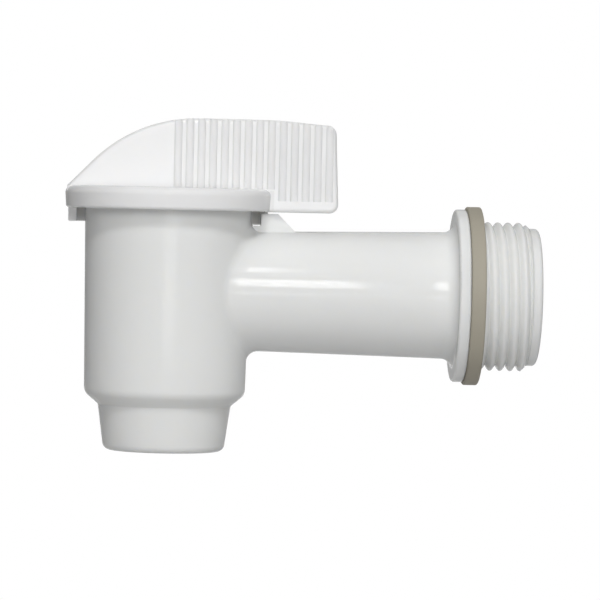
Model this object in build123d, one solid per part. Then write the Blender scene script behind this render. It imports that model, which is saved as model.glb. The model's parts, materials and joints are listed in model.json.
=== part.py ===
from build123d import *
import os
from math import radians, tan

# Frame: millimetres, +Z up. The origin is on the thread's axis, at the inner
# end of the thread, where the washer's sealing face lies. +X runs out along
# the thread, into the drum. The plug turns about a vertical axis on -X.

# Inlet thread, a 3/4 inch parallel pipe thread drawn as its outer cylinder
thread_diameter = 26.44
thread_depth = 1.0
thread_length = 7.6
thread_lead_in = 1.0
pilot_length = 1.65
pilot_edge_round = 0.7
neck_relief = 0.25

# Flange and sealing washer
flange_diameter = 30.7
flange_thickness = 2.0
flange_edge_round = 0.4
washer_diameter = 31.7
washer_thickness = 2.55
washer_edge_round = 0.3
washer_bore_clearance = 0.25
washer_end_clearance = 0.1

# Arm between the flange and the barrel
arm_reach = 55.55
arm_diameter = 22.6
arm_draft = 1.1
arm_flange_fillet = 2.0
arm_barrel_fillet = 2.0
inlet_bore_diameter = 18.8
inlet_bore_draft = 0.8

# Barrel that holds the plug, heights from the arm's axis
barrel_diameter = 29.55
barrel_top = 15.9
barrel_bottom = -20.45
barrel_draft = 0.8
barrel_wall = 2.4
barrel_floor = 2.85
barrel_rim_round = 0.5
shoulder_round = 2.0
shoulder_step = 2.45
shoulder_drop = 2.05

# Spout below the barrel
spout_length = 8.1
spout_draft = 8.0
spout_wall = 2.0
spout_end_round = 1.4
spout_root_round = 0.4

# Stop lug on top of the arm
lug_inner_radius = 16.4
lug_land = 3.0
lug_width = 3.5
lug_slope = 45.0
lug_foot_height = 1.0
lug_clearance = 0.4

# Collar of the handle, which caps the barrel's rim
collar_diameter = 36.8
collar_height = 3.9
collar_draft = 4.0
collar_wall = 2.2
collar_plate = 1.9
collar_lift = 0.3
collar_top_round = 1.3
collar_edge_round = 0.5
skirt_depth = 2.45
skirt_edge_round = 0.3

# Hollow plug under the collar
plug_clearance = 0.08
plug_wall = 2.2
plug_end_clearance = 0.4
plug_edge_round = 0.5
plug_crown = 2.2
window_diameter = 15.2
snap_height = 0.4
snap_width = 1.6
snap_offset = 2.6
snap_clearance = 0.15

# Ring seal in its groove, near the top of the plug
seal_thickness = 1.5
seal_height = 11.6
seal_groove_width = 2.1
seal_clearance = 0.03
seal_groove_wall = 2.0

# Handle fin, heights above the collar
fin_height = 12.28
fin_thickness = 7.0
fin_draft = 1.6
fin_nose_reach = 17.95
fin_nose_angle = 45.5
fin_nose_round = 26.0
fin_bend_reach = 18.5
fin_bend_round = 60.0
fin_top_slope = 4.6
fin_tail_reach = 30.0
fin_tail_draft = 3.2
fin_tail_round = 1.6
fin_edge_round = 0.8
fin_drop = 0.1
fin_core_width = 2.6
fin_core_wall = 1.6

# Grip ribs on both sides of the fin
rib_pitch = 2.06
rib_count = 14
rib_start = 0.4
groove_width = 1.4
groove_depth = 0.6
rib_border = 2.0

# Radii and levels that follow from the sizes above
thread_radius = thread_diameter / 2
root_radius = thread_radius - thread_depth
neck_radius = thread_radius - neck_relief
flange_face = -(washer_thickness + washer_end_clearance)
flange_back = flange_face - flange_thickness
lead_in_end = thread_length + thread_lead_in
spigot_end = lead_in_end + pilot_length
barrel_radius = barrel_diameter / 2
barrel_foot_radius = barrel_radius - (barrel_top - barrel_bottom) * tan(radians(barrel_draft))
spout_radius = barrel_foot_radius - shoulder_step
spout_mouth_radius = spout_radius - spout_length * tan(radians(spout_draft))
spout_bore_radius = spout_mouth_radius - spout_wall
spout_end = barrel_bottom - spout_length
collar_radius = collar_diameter / 2
plate_underside = barrel_top + collar_lift
collar_top = plate_underside + collar_plate
collar_bottom = collar_top - collar_height
collar_foot_radius = collar_radius - collar_height * tan(radians(collar_draft))
skirt_inner_radius = collar_foot_radius - collar_wall + collar_edge_round
skirt_bottom = collar_bottom - skirt_depth
ledge = barrel_bottom + barrel_floor
plug_bottom = ledge + plug_end_clearance
snap_level = plug_bottom + snap_offset
overlap = 1.0


def bore_radius(level):
    """Radius of the barrel's drafted bore at a height."""
    return barrel_radius - barrel_wall - (barrel_top - level) * tan(radians(barrel_draft))


def plug_radius(level):
    """Radius of the plug at a height, a running clearance inside the bore."""
    return bore_radius(level) - plug_clearance


def arm_radius(x):
    """Radius of the arm, which narrows from the flange towards the barrel."""
    return arm_diameter / 2 - (flange_back - x) * tan(radians(arm_draft))


def outline(*corners):
    """Closed face through corners (across, up, rounding)."""
    points = [(across, up) for across, up, _ in corners]
    rounds = [rounding for _, _, rounding in corners]
    return make_face(FilletPolyline(*points, radius=rounds, close=True))


def turned(axis, *corners):
    """Solid of revolution of an outline in the XZ plane."""
    return revolve(Plane.XZ * outline(*corners), axis)


def make_barrel():
    """Barrel, rounded shoulder and spout, turned about the plug's axis."""
    return turned(
        Axis.Z,
        (0, barrel_top, 0),
        (barrel_radius, barrel_top, barrel_rim_round),
        (barrel_foot_radius, barrel_bottom + shoulder_drop, shoulder_round),
        (spout_radius, barrel_bottom, spout_root_round),
        (spout_mouth_radius, spout_end, spout_end_round),
        (0, spout_end, 0),
    )


def make_barrel_hollow():
    """Bore for the plug with its snap groove, and the spout's straight bore."""
    groove_reach = snap_height + plug_clearance
    groove_half = snap_width / 2 + snap_clearance
    groove_low = snap_level - groove_half
    groove_high = snap_level + groove_half
    above = barrel_top + overlap
    below = spout_end - overlap
    return turned(
        Axis.Z,
        (0, above, 0),
        (bore_radius(above), above, 0),
        (bore_radius(groove_high), groove_high, 0),
        (bore_radius(snap_level) + groove_reach, snap_level + snap_clearance, 0),
        (bore_radius(snap_level) + groove_reach, snap_level - snap_clearance, 0),
        (bore_radius(groove_low), groove_low, 0),
        (bore_radius(ledge), ledge, 0),
        (spout_bore_radius, ledge, 0),
        (spout_bore_radius, below, 0),
        (0, below, 0),
    )


def make_arm():
    """Arm, flange, washer neck and threaded spigot, turned about X."""
    return turned(
        Axis.X,
        (-arm_reach, 0, 0),
        (-arm_reach, arm_radius(-arm_reach), 0),
        (flange_back, arm_diameter / 2, arm_flange_fillet),
        (flange_back, flange_diameter / 2, flange_edge_round),
        (flange_face, flange_diameter / 2, flange_edge_round),
        (flange_face, neck_radius, 0),
        (0, neck_radius, 0),
        (0, thread_radius, 0),
        (thread_length, thread_radius, 0),
        (lead_in_end, root_radius, 0),
        (spigot_end, root_radius, pilot_edge_round),
        (spigot_end, 0, 0),
    )


def make_arm_hollow():
    """Drafted waterway from the spigot's mouth into the barrel."""
    mouth = inlet_bore_diameter / 2
    length = spigot_end + arm_reach
    inner = mouth - length * tan(radians(inlet_bore_draft))
    return turned(
        Axis.X,
        (-arm_reach, 0, 0),
        (-arm_reach, inner, 0),
        (spigot_end, mouth, 0),
        (spigot_end + overlap, mouth, 0),
        (spigot_end + overlap, 0, 0),
    )


def make_lug():
    """Stop lug: a land just under the collar, a slope down to the arm, a low foot to the barrel."""
    top = collar_bottom - lug_clearance
    inner = lug_inner_radius - arm_reach
    heel = barrel_radius - overlap - arm_reach
    outer = inner + lug_land
    root = arm_radius(outer) - overlap
    foot = arm_radius(inner) + lug_foot_height
    slope_end = outer + (top - root) / tan(radians(lug_slope))
    side = outline(
        (inner, top, 0),
        (outer, top, 0),
        (slope_end, root, 0),
        (heel, root, 0),
        (heel, foot, 0),
        (inner, foot, 0),
    )
    return extrude(Plane.XZ * side, lug_width / 2, both=True)


def make_tap_body():
    """One moulding: barrel, spout, arm, flange, spigot and stop lug."""
    to_plug_axis = Pos(-arm_reach, 0, 0)
    body = to_plug_axis * make_barrel() + make_arm()
    crossing = body.edges().filter_by(
        lambda edge: edge.geom_type not in (GeomType.LINE, GeomType.CIRCLE)
    )
    body = fillet(crossing, arm_barrel_fillet)
    body += make_lug()
    body -= to_plug_axis * make_barrel_hollow()
    return body - make_arm_hollow()


def make_washer():
    """Flat sealing washer on the neck between the flange and the thread."""
    bore = thread_radius + washer_bore_clearance
    face = -washer_end_clearance
    rim = washer_diameter / 2
    return turned(
        Axis.X,
        (flange_face, bore, 0),
        (flange_face, rim, washer_edge_round),
        (face, rim, washer_edge_round),
        (face, bore, 0),
    )


def seal_floor():
    """Radius of the seal groove's floor."""
    return plug_radius(seal_height) - seal_thickness


def make_collar_and_plug():
    """Collar, its short wall and the hollow plug, as one turned profile."""
    groove_low = seal_height - seal_groove_width / 2
    groove_high = seal_height + seal_groove_width / 2
    snap_low = snap_level - snap_width / 2
    snap_high = snap_level + snap_width / 2
    crown = collar_top - plug_crown
    neck = seal_floor() - seal_groove_wall
    wide = plug_radius(plug_bottom) - plug_wall
    neck_start = groove_low - seal_groove_wall
    wide_end = neck_start - (wide - neck)
    return turned(
        Axis.Z,
        (0, collar_top, 0),
        (collar_radius, collar_top, collar_top_round),
        (collar_foot_radius, collar_bottom, collar_edge_round),
        (skirt_inner_radius, collar_bottom, 0),
        (skirt_inner_radius, plate_underside, 0),
        (plug_radius(plate_underside), plate_underside, 0),
        (plug_radius(groove_high), groove_high, 0),
        (seal_floor(), groove_high, 0),
        (seal_floor(), groove_low, 0),
        (plug_radius(groove_low), groove_low, 0),
        (plug_radius(snap_high), snap_high, 0),
        (plug_radius(snap_level) + snap_height, snap_level, 0),
        (plug_radius(snap_low), snap_low, 0),
        (plug_radius(plug_bottom), plug_bottom, plug_edge_round),
        (wide, plug_bottom, 0),
        (wide, wide_end, 0),
        (neck, neck_start, 0),
        (neck, crown, 0),
        (0, crown, 0),
    )


def make_window():
    """Round port in the plug's wall, on the side away from the arm."""
    reach = barrel_radius
    port = Cylinder(window_diameter / 2, reach, align=(Align.CENTER, Align.CENTER, Align.MIN))
    return Rot(0, -90, 0) * port


def make_skirt():
    """Half ring under the collar's rear half, whose ends meet the stop lug."""
    outer = collar_foot_radius - collar_edge_round / 2
    ring = turned(
        Axis.Z,
        (skirt_inner_radius, collar_bottom + overlap, 0),
        (outer, collar_bottom + overlap, 0),
        (outer, skirt_bottom, skirt_edge_round),
        (skirt_inner_radius, skirt_bottom, skirt_edge_round),
    )
    half_room = lug_width / 2 + lug_clearance
    front = Pos(0, half_room, 0) * Box(
        collar_diameter * 2, collar_diameter * 2, collar_diameter * 2,
        align=(Align.CENTER, Align.MAX, Align.CENTER),
    )
    return ring - front


def fin_half(level):
    """Half of the fin's thickness at a height."""
    return fin_thickness / 2 - (level - collar_top) * tan(radians(fin_draft))


def make_fin_plate():
    """Fin's side outline and its drafted section, intersected and rounded."""
    bottom = collar_bottom - fin_drop
    root = collar_top - collar_top_round
    inner = collar_foot_radius - collar_wall / 2
    top = collar_top + fin_height
    peak = fin_height / tan(radians(fin_nose_angle)) - fin_nose_reach
    tail_head = fin_tail_reach - fin_height * tan(radians(fin_tail_draft))
    tail_top = top - (tail_head - fin_bend_reach) * tan(radians(fin_top_slope))
    side = outline(
        (-fin_nose_reach, root, 0),
        (-fin_nose_reach, collar_top, 0),
        (peak, top, fin_nose_round),
        (fin_bend_reach, top, fin_bend_round),
        (tail_head, tail_top, fin_tail_round),
        (fin_tail_reach, bottom, fin_tail_round),
        (inner, bottom, 0),
        (inner, root, 0),
    )
    section = outline(
        (-fin_half(bottom), bottom, 0),
        (fin_half(bottom), bottom, 0),
        (fin_half(top), top, 0),
        (-fin_half(top), top, 0),
    )
    slab = extrude(Plane.XZ * side, fin_thickness, both=True)
    bar = extrude(Plane.YZ * section, fin_tail_reach * 2, both=True)
    plate = slab & bar
    rims = [
        edge
        for edge in plate.edges()
        if abs(edge.tangent_at(0.5).Y) < 0.5
        and (edge.center().Z > collar_top or edge.center().X > collar_radius)
    ]
    return fillet(rims, fin_edge_round)


def make_fin_grooves():
    """Half-round grooves between the ribs, tilted with the fin's draft."""
    radius = (groove_width ** 2 / 4 + groove_depth ** 2) / (2 * groove_depth)
    grooves = []
    for number in range(rib_count):
        x = rib_start + (number + 0.5) * rib_pitch
        over_collar = x < collar_radius
        low = collar_top if over_collar else collar_bottom - fin_drop + rib_border
        offset = fin_half(low) - groove_depth + radius
        groove = Cylinder(radius, fin_height * 2, align=(Align.CENTER, Align.CENTER, Align.MIN))
        for side in (-1, 1):
            place = Pos(x, side * offset, low) * Rot(side * fin_draft, 0, 0)
            grooves.append(place * groove)
    return grooves


def make_fin_core():
    """Core pocket in the fin's overhang, open downwards, that keeps its walls even."""
    bottom = collar_bottom - fin_drop
    top = collar_top + fin_height - fin_core_wall * 2
    start = collar_radius + fin_core_wall / 2
    end = fin_tail_reach - fin_tail_round - fin_core_wall
    return Pos(start, 0, bottom - overlap) * Box(
        end - start, fin_core_width, top - bottom + overlap,
        align=(Align.MIN, Align.CENTER, Align.MIN),
    )


def make_handle_plug():
    """One moulding: ribbed fin, collar, rear skirt and hollow plug."""
    fin = make_fin_plate() - make_fin_grooves() - make_fin_core()
    handle = make_collar_and_plug() - make_window()
    handle += make_skirt()
    handle += fin
    return Pos(-arm_reach, 0, 0) * handle


def make_seal():
    """Rubber ring in the plug's groove, just clear of floor and bore."""
    thickness = seal_thickness - 2 * seal_clearance
    ring = seal_floor() + seal_clearance + thickness / 2
    return Pos(-arm_reach, 0, seal_height) * Torus(ring, thickness / 2)


os.makedirs("parts", exist_ok=True)
pieces = {
    "tap_body": make_tap_body(),
    "flange_washer": make_washer(),
    "handle_plug": make_handle_plug(),
    "plug_o_ring": make_seal(),
}
for name, piece in pieces.items():
    export_step(piece, f"parts/{name}.step")
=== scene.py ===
import json
from math import pi, radians, tan

import bmesh
import bpy
import numpy as np
from mathutils import Matrix, Vector


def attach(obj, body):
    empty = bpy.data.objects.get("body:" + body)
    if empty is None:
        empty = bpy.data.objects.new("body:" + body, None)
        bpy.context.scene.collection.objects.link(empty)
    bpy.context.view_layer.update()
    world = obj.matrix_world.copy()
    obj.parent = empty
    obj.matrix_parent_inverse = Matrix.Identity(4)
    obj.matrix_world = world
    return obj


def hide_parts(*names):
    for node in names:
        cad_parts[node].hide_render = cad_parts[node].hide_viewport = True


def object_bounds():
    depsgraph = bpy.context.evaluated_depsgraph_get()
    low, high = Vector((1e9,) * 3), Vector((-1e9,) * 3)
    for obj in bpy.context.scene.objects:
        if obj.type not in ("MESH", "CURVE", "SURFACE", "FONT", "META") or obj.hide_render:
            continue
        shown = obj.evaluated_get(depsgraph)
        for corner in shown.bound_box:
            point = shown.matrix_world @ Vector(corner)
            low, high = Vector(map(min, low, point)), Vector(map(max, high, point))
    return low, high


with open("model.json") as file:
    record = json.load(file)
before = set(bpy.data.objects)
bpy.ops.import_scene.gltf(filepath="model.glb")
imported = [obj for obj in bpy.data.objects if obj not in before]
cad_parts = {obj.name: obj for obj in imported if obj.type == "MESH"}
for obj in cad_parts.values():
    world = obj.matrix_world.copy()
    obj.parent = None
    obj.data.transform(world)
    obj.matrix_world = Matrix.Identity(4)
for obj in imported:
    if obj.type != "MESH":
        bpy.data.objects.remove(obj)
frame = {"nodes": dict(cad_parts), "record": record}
cad_low, cad_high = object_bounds()

MM = 0.001

# Inlet thread, a right-hand 3/4 inch parallel pipe thread along +X
MOUNTS = {mount["name"]: mount for mount in frame["record"]["mounts"]}
THREAD_CREST = MOUNTS["inlet_thread"]["dims"]["r_mm"] * MM
THREAD_LENGTH = MOUNTS["inlet_thread"]["dims"]["length_mm"] * MM
THREAD_DEPTH = 1.0 * MM
THREAD_PITCH = 1.814 * MM
THREAD_LEAD_IN = 1.0 * MM
NECK_RELIEF = 0.25 * MM
THREAD_PHASE = 0.80 * MM
THREAD_TUCK = 0.05 * MM
THREAD_ROOT = THREAD_CREST - THREAD_DEPTH
THREAD_END = THREAD_LENGTH + THREAD_LEAD_IN
THREAD_AROUND = 288
THREAD_ALONG = 130
FLANK_STEEPNESS = 1.08

SHARP_ANGLE = radians(28.0)
MERGE_DISTANCE = 0.5e-6

# Handle fin: a thin drafted plate above the collar that hangs out past it
FIN_FOOT = 18.1 * MM
FIN_HALF = 3.5 * MM
FIN_DRAFT = radians(1.6)
FIN_HANG = -37.1 * MM

# Painted light on the fin: the heights and reaches over which its painted glow comes in, and the
# depths under its face where painted shade lies in its grooves and round its rims
FOOT_BLEND = (FIN_FOOT - 0.4 * MM, FIN_FOOT + 0.1 * MM)
HANG_BLEND = (FIN_HANG - 0.1 * MM, FIN_HANG + 0.3 * MM)
SUNK_BLEND = (0.04 * MM, 0.2 * MM)
DEEP_BLEND = (0.7 * MM, 1.1 * MM)
# Painted glow: off the fin the handle's white is dimmed to this share, so the fin alone is painted
# brighter
COLLAR_WITHOUT_PAINTED_GLOW = 0.91
# Painted shade: the colour in the fin's grooves and round its rims is darkened to this share
GROOVE_PAINTED_SHADE = 0.90

# Moulded skin: detail of its two noises, scale of the broad one, and its pull on roughness
RIPPLE_DETAIL = 3.0
CLOUD_DETAIL = 4.0
CLOUD_SCALE = 60.0
POLISH_RANGE = 0.12

# Finishes: colours, and how far light goes under the white plastic
BODY_WHITE = (0.80, 0.805, 0.795)
# The handle's white is the fin's level, which holds a painted glow as if light shone through the
# thin plate; the collar is dimmed back by the fin's painted-light group
HANDLE_WHITE_WITH_PAINTED_GLOW = (0.89, 0.89, 0.89)
WASHER_TAUPE = (0.375, 0.347, 0.282)
SEAL_BLACK = (0.02, 0.02, 0.02)
BODY_GLOW = 0.6
HANDLE_GLOW = 0.3
GLOW_REACH = 2.5 * MM
GLOW_SPREAD = (1.0, 0.95, 0.85)

# Stage: GLOSSY_WHITE is the share of the white surround that reflections see
WHITE = (1.0, 1.0, 1.0, 1.0)
FLOOR_GREY = (0.54, 0.54, 0.54, 1.0)
FLOOR_DROP = 0.045
FLOOR_HALF = 3.0
SURROUND_STRENGTH = 0.08
GLOSSY_WHITE = 0.4

# Lamps: name, place, width, height and watts
FRONT_LAMPS = (
    ("front_key", (-0.028, -0.70, 0.22), 0.05, 0.18, 1.55),
    ("spark", (-0.052, -0.595, 0.55), 0.008, 0.13, 2.1),
    ("front_fill", (-0.01, -0.90, -0.13), 0.3, 0.3, 3.5),
    ("top_soft", (0.02, -0.05, 0.80), 0.7, 0.6, 1.6),
)
BACK_LAMPS = (
    ("back_right", (0.14, 0.84, 0.10), 0.35, 0.35, 1.8),
    ("back_left", (-0.09, 0.84, 0.24), 0.35, 0.35, 2.6),
)

# Camera: where it stands, where it looks, and the photograph's slight tilt
CAMERA_PLACE = Vector((-0.0662, -0.6949, 0.0160))
CAMERA_YAW = radians(2.83)
CAMERA_PITCH = radians(1.43)
CAMERA_ROLL = radians(1.33)
CAMERA_REACH = 50.0
FOCAL_PIXELS = 3917.6
FRAME_PIXELS = 600
SENSOR_MM = 36.0


def grid_mesh(name, points, closed_around):
    """Mesh of a grid of points, [along, around, xyz], joined into quads row by row.

    Each quad takes a point, the next one around, and the same two on the next row.
    """
    rows, columns, _ = points.shape
    index = np.arange(rows * columns).reshape(rows, columns)
    if closed_around:
        index = np.concatenate([index, index[:, :1]], axis=1)
    quads = np.stack(
        [index[:-1, :-1], index[:-1, 1:], index[1:, 1:], index[1:, :-1]], axis=-1
    )
    mesh = bpy.data.meshes.new(name)
    mesh.from_pydata(points.reshape(-1, 3).tolist(), [], quads.reshape(-1, 4).tolist())
    return mesh


def thread_surface():
    """Outer skin of the threaded spigot, as a height over the root cylinder.

    The ridge has a round crest and a sharp root: its height is the sine of a triangle wave
    of (x - THREAD_PHASE) / pitch less the turn round the axis, so its crest climbs one pitch
    for each right-hand turn. It starts at once from the neck and falls to nothing over the
    lead-in cone.
    """
    along = np.linspace(0.0, THREAD_END, THREAD_ALONG)
    around = np.linspace(0.0, 2 * pi, THREAD_AROUND, endpoint=False)
    x, turn = np.meshgrid(along, around, indexing="ij")
    phase = (x - THREAD_PHASE) / THREAD_PITCH - turn / (2 * pi)
    from_crest = 2 * np.abs(phase - np.round(phase))
    flank = np.clip(0.5 + (0.5 - from_crest) * FLANK_STEEPNESS, 0.0, 1.0)
    ridge = np.sin(flank * pi / 2)
    lead_in = np.clip((THREAD_END - x) / THREAD_LEAD_IN, 0.0, 1.0)
    radius = THREAD_ROOT + THREAD_DEPTH * np.minimum(ridge, lead_in)
    radius[0] = THREAD_CREST - NECK_RELIEF
    radius[-1] = THREAD_ROOT - THREAD_TUCK
    points = np.stack([x, radius * np.cos(turn), radius * np.sin(turn)], axis=-1)
    return grid_mesh("thread_skin", points, closed_around=True)


def smooth_by_angle(shape):
    """Smooth faces, with sharp edges where two faces meet at more than the sharp angle."""
    for face in shape.faces:
        face.smooth = True
    for edge in shape.edges:
        edge.smooth = edge.calc_face_angle(0.0) < SHARP_ANGLE


def make_threaded_body():
    """The body's own skin with its plain spigot wall taken off and the thread put on."""
    shape = bmesh.new()
    shape.from_mesh(frame["nodes"]["tap_body"].data)
    bmesh.ops.remove_doubles(shape, verts=shape.verts, dist=MERGE_DISTANCE)
    limit = THREAD_ROOT + THREAD_TUCK
    plain_wall = []
    for face in shape.faces:
        centre = face.calc_center_median()
        outside = centre.yz.length > limit
        if outside and -THREAD_TUCK < centre.x < THREAD_END + THREAD_TUCK:
            plain_wall.append(face)
    bmesh.ops.delete(shape, geom=plain_wall, context="FACES")
    skin = thread_surface()
    shape.from_mesh(skin)
    smooth_by_angle(shape)
    mesh = bpy.data.meshes.new("tap_body_threaded")
    shape.to_mesh(mesh)
    shape.free()
    bpy.data.meshes.remove(skin)
    body = bpy.data.objects.new("tap_body_threaded", mesh)
    bpy.context.scene.collection.objects.link(body)
    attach(body, "tap")
    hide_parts("tap_body")
    return body


def feed(tree, socket, term):
    """Set an input socket to a number or a colour, or link it to an output socket."""
    if isinstance(term, (float, tuple)):
        socket.default_value = term
    else:
        tree.links.new(term, socket)


def reckon(tree, operation, *terms):
    """Output of a maths node fed with numbers or sockets."""
    node = tree.nodes.new("ShaderNodeMath")
    node.operation = operation
    for socket, term in zip(node.inputs, terms):
        feed(tree, socket, term)
    return node.outputs[0]


def ramp(tree, value, blend):
    """Smooth step of a value, 0 below the blend's first level and 1 above its second."""
    node = tree.nodes.new("ShaderNodeMapRange")
    node.interpolation_type = "SMOOTHSTEP"
    node.inputs["From Min"].default_value, node.inputs["From Max"].default_value = blend
    tree.links.new(value, node.inputs["Value"])
    return node.outputs["Result"]


def noise(tree, place, scale, detail):
    """Value of a noise at a place, with its scale given as a number or a socket."""
    node = tree.nodes.new("ShaderNodeTexNoise")
    node.inputs["Detail"].default_value = detail
    tree.links.new(place, node.inputs["Vector"])
    feed(tree, node.inputs["Scale"], scale)
    return node.outputs["Fac"]


def tinted(tree, colour, tint):
    """A colour, given as numbers or a socket, times a tint."""
    node = tree.nodes.new("ShaderNodeMix")
    node.data_type = "RGBA"
    node.blend_type = "MULTIPLY"
    node.inputs["Factor"].default_value = 1.0
    feed(tree, node.inputs["A"], colour)
    tree.links.new(tint, node.inputs["B"])
    return node.outputs["Result"]


def make_group(name, inputs, outputs):
    """Empty node group with named number sockets, and its input, output and place sockets."""
    group = bpy.data.node_groups.new(name, "ShaderNodeTree")
    for socket in inputs:
        group.interface.new_socket(socket, in_out="INPUT", socket_type="NodeSocketFloat")
    for socket in outputs:
        group.interface.new_socket(socket, in_out="OUTPUT", socket_type="NodeSocketFloat")
    given = group.nodes.new("NodeGroupInput").outputs
    result = group.nodes.new("NodeGroupOutput").inputs
    place = group.nodes.new("ShaderNodeTexCoord").outputs["Object"]
    return group, given, result, place


def make_fin_painted_light():
    """Node group: painted light on the handle: the thin fin is painted brighter, as if lit
    through, and its grooves and rims get painted shade.

    Depth is half the plate's thickness less |y|, with half = FIN_HALF - (z - FIN_FOOT) tan(draft).
    The painted-shade mask is 1 for depths of 0.2 to 0.7 mm, in the grooves and round the rims.
    Tint is the collar's lower share off the fin, where the painted glow is taken away, and on the
    fin it falls from 1 to the grooves' painted shade with that mask.
    """
    group, _, result, place = make_group("fin_painted_light", (), ("Tint",))
    parts = group.nodes.new("ShaderNodeSeparateXYZ")
    group.links.new(place, parts.inputs[0])
    x, y, z = parts.outputs
    fin = reckon(group, "MAXIMUM", ramp(group, z, FOOT_BLEND), ramp(group, x, HANG_BLEND))
    rise = reckon(group, "SUBTRACT", z, FIN_FOOT)
    half = reckon(group, "MULTIPLY_ADD", rise, -tan(FIN_DRAFT), FIN_HALF)
    depth = reckon(group, "SUBTRACT", half, reckon(group, "ABSOLUTE", y))
    # Painted shade: a band of depths under the fin's face, in its grooves and round its rims, is
    # darkened in colour
    shallow = reckon(group, "SUBTRACT", 1.0, ramp(group, depth, DEEP_BLEND))
    groove_painted_shade_mask = reckon(group, "MULTIPLY", ramp(group, depth, SUNK_BLEND), shallow)
    shade = reckon(group, "MULTIPLY_ADD", groove_painted_shade_mask, GROOVE_PAINTED_SHADE - 1.0, 1.0)
    # Painted glow: the fin is painted brighter than the collar, as if lit through
    painted_glow_step = reckon(group, "SUBTRACT", shade, COLLAR_WITHOUT_PAINTED_GLOW)
    tint = reckon(group, "MULTIPLY_ADD", fin, painted_glow_step, COLLAR_WITHOUT_PAINTED_GLOW)
    group.links.new(tint, result["Tint"])
    return group


def make_moulded_skin():
    """Node group: the uneven skin of a moulding.

    Ripple is the scale of the fine noise, and Mottle how far the tint wanders with the broad one.
    Tint multiplies the base colour, Polish adds to the roughness, Height feeds a bump.
    """
    outputs = ("Tint", "Polish", "Height")
    group, given, result, place = make_group("moulded_skin", ("Ripple", "Mottle"), outputs)
    height = noise(group, place, given["Ripple"], RIPPLE_DETAIL)
    cloud = noise(group, place, CLOUD_SCALE, CLOUD_DETAIL)
    centred = reckon(group, "SUBTRACT", cloud, 0.5)
    tint = reckon(group, "MULTIPLY_ADD", centred, given["Mottle"], 1.0)
    polish = reckon(group, "MULTIPLY", centred, POLISH_RANGE)
    group.links.new(tint, result["Tint"])
    group.links.new(polish, result["Polish"])
    group.links.new(height, result["Height"])
    return group


def skinned_material(name, colour, roughness, ripple, bump, mottle):
    """Material with a Principled shader whose colour, roughness and bump come from the skin."""
    material = bpy.data.materials.new(name)
    material.use_nodes = True
    tree = material.node_tree
    shader = tree.nodes["Principled BSDF"]
    skin = tree.nodes.new("ShaderNodeGroup")
    skin.node_tree = MOULDED_SKIN
    skin.inputs["Ripple"].default_value = ripple
    skin.inputs["Mottle"].default_value = mottle
    base = tinted(tree, (*colour, 1.0), skin.outputs["Tint"])
    tree.links.new(base, shader.inputs["Base Color"])
    rough = reckon(tree, "ADD", skin.outputs["Polish"], roughness)
    tree.links.new(rough, shader.inputs["Roughness"])
    relief = tree.nodes.new("ShaderNodeBump")
    relief.inputs["Strength"].default_value = 1.0
    relief.inputs["Distance"].default_value = bump
    tree.links.new(skin.outputs["Height"], relief.inputs["Height"])
    tree.links.new(relief.outputs["Normal"], shader.inputs["Normal"])
    return material, shader


def polyethylene(name, colour, glow):
    """White polyethylene: soft gloss, and light that spreads a little under the skin."""
    material, shader = skinned_material(
        name, colour, roughness=0.075, ripple=700.0, bump=0.004 * MM, mottle=0.02
    )
    shader.inputs["Subsurface Weight"].default_value = glow
    shader.inputs["Subsurface Radius"].default_value = GLOW_SPREAD
    shader.inputs["Subsurface Scale"].default_value = GLOW_REACH
    shader.inputs["Specular IOR Level"].default_value = 0.05
    return material


def handle_polyethylene():
    """The handle's polyethylene, with its base colour multiplied by the fin's painted light: a
    painted glow on the thin fin and painted shade in its grooves and round its rims.
    """
    material = polyethylene("handle_polyethylene", HANDLE_WHITE_WITH_PAINTED_GLOW, HANDLE_GLOW)
    tree = material.node_tree
    # Painted light: the fin's painted glow and the painted shade in its grooves and rims multiply
    # the base colour
    fin_painted_light_node = tree.nodes.new("ShaderNodeGroup")
    fin_painted_light_node.node_tree = make_fin_painted_light()
    base = tree.nodes["Principled BSDF"].inputs["Base Color"]
    base_with_painted_light = tinted(tree, base.links[0].from_socket, fin_painted_light_node.outputs["Tint"])
    tree.links.new(base_with_painted_light, base)
    return material


def rubber(name, colour):
    """Matt rubber with a dusty, uneven surface."""
    material, shader = skinned_material(
        name, colour, roughness=0.62, ripple=1600.0, bump=0.04 * MM, mottle=0.35
    )
    shader.inputs["Specular IOR Level"].default_value = 0.35
    return material


def dress(piece, material):
    """Give a piece one material in its first slot."""
    piece.data.materials.clear()
    piece.data.materials.append(material)


def show_white(tree, surface, lit, white):
    """Feed a surface with two shaders: the eye sees the white one, and light meets the lit one.

    The share of white is 1 for camera and transmission rays, GLOSSY_WHITE for glossy rays
    and 0 for others.
    """
    path = tree.nodes.new("ShaderNodeLightPath").outputs
    clear = reckon(tree, "MAXIMUM", path["Is Camera Ray"], path["Is Transmission Ray"])
    glossy = reckon(tree, "MULTIPLY", path["Is Glossy Ray"], GLOSSY_WHITE)
    mix = tree.nodes.new("ShaderNodeMixShader")
    tree.links.new(reckon(tree, "MAXIMUM", clear, glossy), mix.inputs["Fac"])
    tree.links.new(lit, mix.inputs[1])
    tree.links.new(white, mix.inputs[2])
    tree.links.new(mix.outputs["Shader"], surface)


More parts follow.
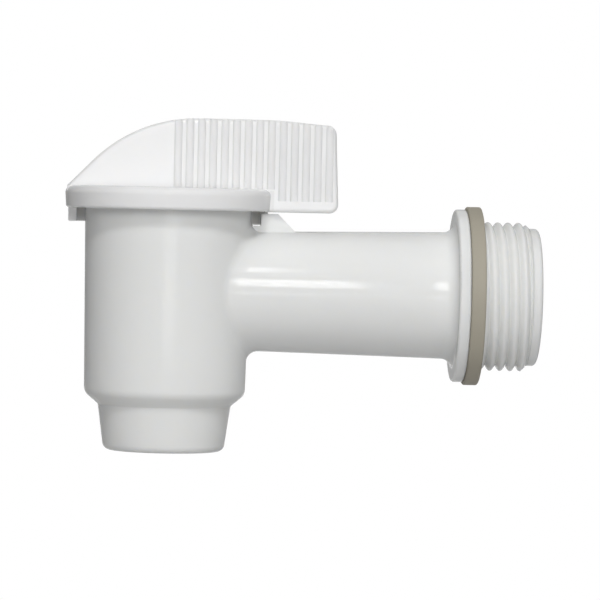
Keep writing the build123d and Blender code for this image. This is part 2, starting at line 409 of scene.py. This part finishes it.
def make_floor():
    """Level square floor, white to the eye, that throws grey light back up at the tap."""
    low = cad_low.z - FLOOR_DROP
    side = np.array([-FLOOR_HALF, FLOOR_HALF])
    x, y = np.meshgrid(side, side, indexing="ij")
    points = np.stack([x, y, np.full_like(x, low)], axis=-1)
    floor = bpy.data.objects.new("floor", grid_mesh("floor", points, closed_around=False))
    bpy.context.scene.collection.objects.link(floor)
    material = bpy.data.materials.new("pale_floor")
    material.use_nodes = True
    tree = material.node_tree
    shader = tree.nodes["Principled BSDF"]
    shader.inputs["Base Color"].default_value = FLOOR_GREY
    shader.inputs["Roughness"].default_value = 0.9
    shader.inputs["Specular IOR Level"].default_value = 0.0
    white = tree.nodes.new("ShaderNodeEmission")
    white.inputs["Color"].default_value = WHITE
    surface = tree.nodes["Material Output"].inputs["Surface"]
    show_white(tree, surface, shader.outputs["BSDF"], white.outputs["Emission"])
    dress(floor, material)


def make_world():
    """Soft studio surround: white to the eye, and faint as a light."""
    world = bpy.data.worlds.new("studio")
    bpy.context.scene.world = world
    world.use_nodes = True
    tree = world.node_tree
    surround = tree.nodes["Background"]
    surround.inputs["Color"].default_value = WHITE
    surround.inputs["Strength"].default_value = SURROUND_STRENGTH
    white = tree.nodes.new("ShaderNodeBackground")
    white.inputs["Color"].default_value = WHITE
    surface = tree.nodes["World Output"].inputs["Surface"]
    show_white(tree, surface, surround.outputs["Background"], white.outputs["Background"])


def make_lamp(name, place, width, height, power):
    """Soft area lamp turned towards the tap's middle."""
    data = bpy.data.lights.new(name, "AREA")
    data.shape = "RECTANGLE"
    data.size = width
    data.size_y = height
    data.energy = power
    lamp = bpy.data.objects.new(name, data)
    lamp.location = place
    middle = (cad_low + cad_high) / 2
    lamp.rotation_euler = (middle - Vector(place)).to_track_quat("-Z", "Y").to_euler()
    bpy.context.scene.collection.objects.link(lamp)
    return lamp


def make_lamps():
    """A narrow key above the lens, a fill below it, and a soft lamp on top.

    The small spark lamp makes the light spot where the arm leaves the barrel. Two lamps
    behind light the sides that the photograph doesn't show, and stay out of reflections.
    """
    for values in FRONT_LAMPS:
        make_lamp(*values)
    for values in BACK_LAMPS:
        make_lamp(*values).visible_glossy = False


def make_camera():
    """Long lens, turned by yaw and pitch from +Y and rolled by the photograph's tilt."""
    data = bpy.data.cameras.new("camera")
    data.sensor_width = SENSOR_MM
    data.lens = FOCAL_PIXELS / FRAME_PIXELS * SENSOR_MM
    data.clip_end = CAMERA_REACH
    camera = bpy.data.objects.new("camera", data)
    level = Matrix.Rotation(pi / 2, 4, "X")
    turn = Matrix.Rotation(-CAMERA_YAW, 4, "Z")
    pitch = Matrix.Rotation(-CAMERA_PITCH, 4, "X")
    roll = Matrix.Rotation(CAMERA_ROLL, 4, "Z")
    camera.matrix_world = Matrix.Translation(CAMERA_PLACE) @ turn @ level @ pitch @ roll
    bpy.context.scene.collection.objects.link(camera)
    bpy.context.scene.camera = camera


MOULDED_SKIN = make_moulded_skin()
dress(make_threaded_body(), polyethylene("body_polyethylene", BODY_WHITE, BODY_GLOW))
dress(frame["nodes"]["handle_plug"], handle_polyethylene())
dress(frame["nodes"]["flange_washer"], rubber("washer_rubber", WASHER_TAUPE))
dress(frame["nodes"]["plug_o_ring"], rubber("seal_rubber", SEAL_BLACK))
make_floor()
make_world()
make_lamps()
make_camera()
bpy.context.scene.view_settings.view_transform = "Standard"
